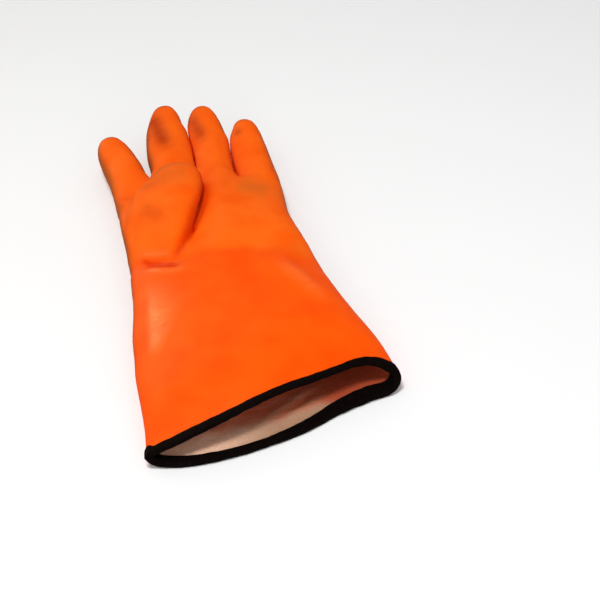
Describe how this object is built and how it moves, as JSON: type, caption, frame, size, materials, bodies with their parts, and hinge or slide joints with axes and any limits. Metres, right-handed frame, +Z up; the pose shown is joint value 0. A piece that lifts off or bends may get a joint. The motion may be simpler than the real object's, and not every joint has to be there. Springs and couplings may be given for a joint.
{
  "type": "work glove",
  "caption": "Coated work glove with a wide gauntlet, a bound cuff and a fabric lining, lying palm up with the thumb folded over the palm.",
  "frame": {"origin": "on the surface that the glove lies on, under the middle of its outline", "axes": "+Y from the cuff to the fingertips, +Z up, out of the palm, +X from the thumb's side to the little finger"},
  "size_m": [0.175, 0.372, 0.0525],
  "materials": {
    "coat": "semi-gloss orange dipped coat",
    "lining": "matte pale knitted fabric",
    "binding": "matte black folded tape"
  },
  "bodies": {
    "root": {"glove_shell": "coat", "lining": "lining", "cuff_binding": "binding"}
  },
  "joints": []
}
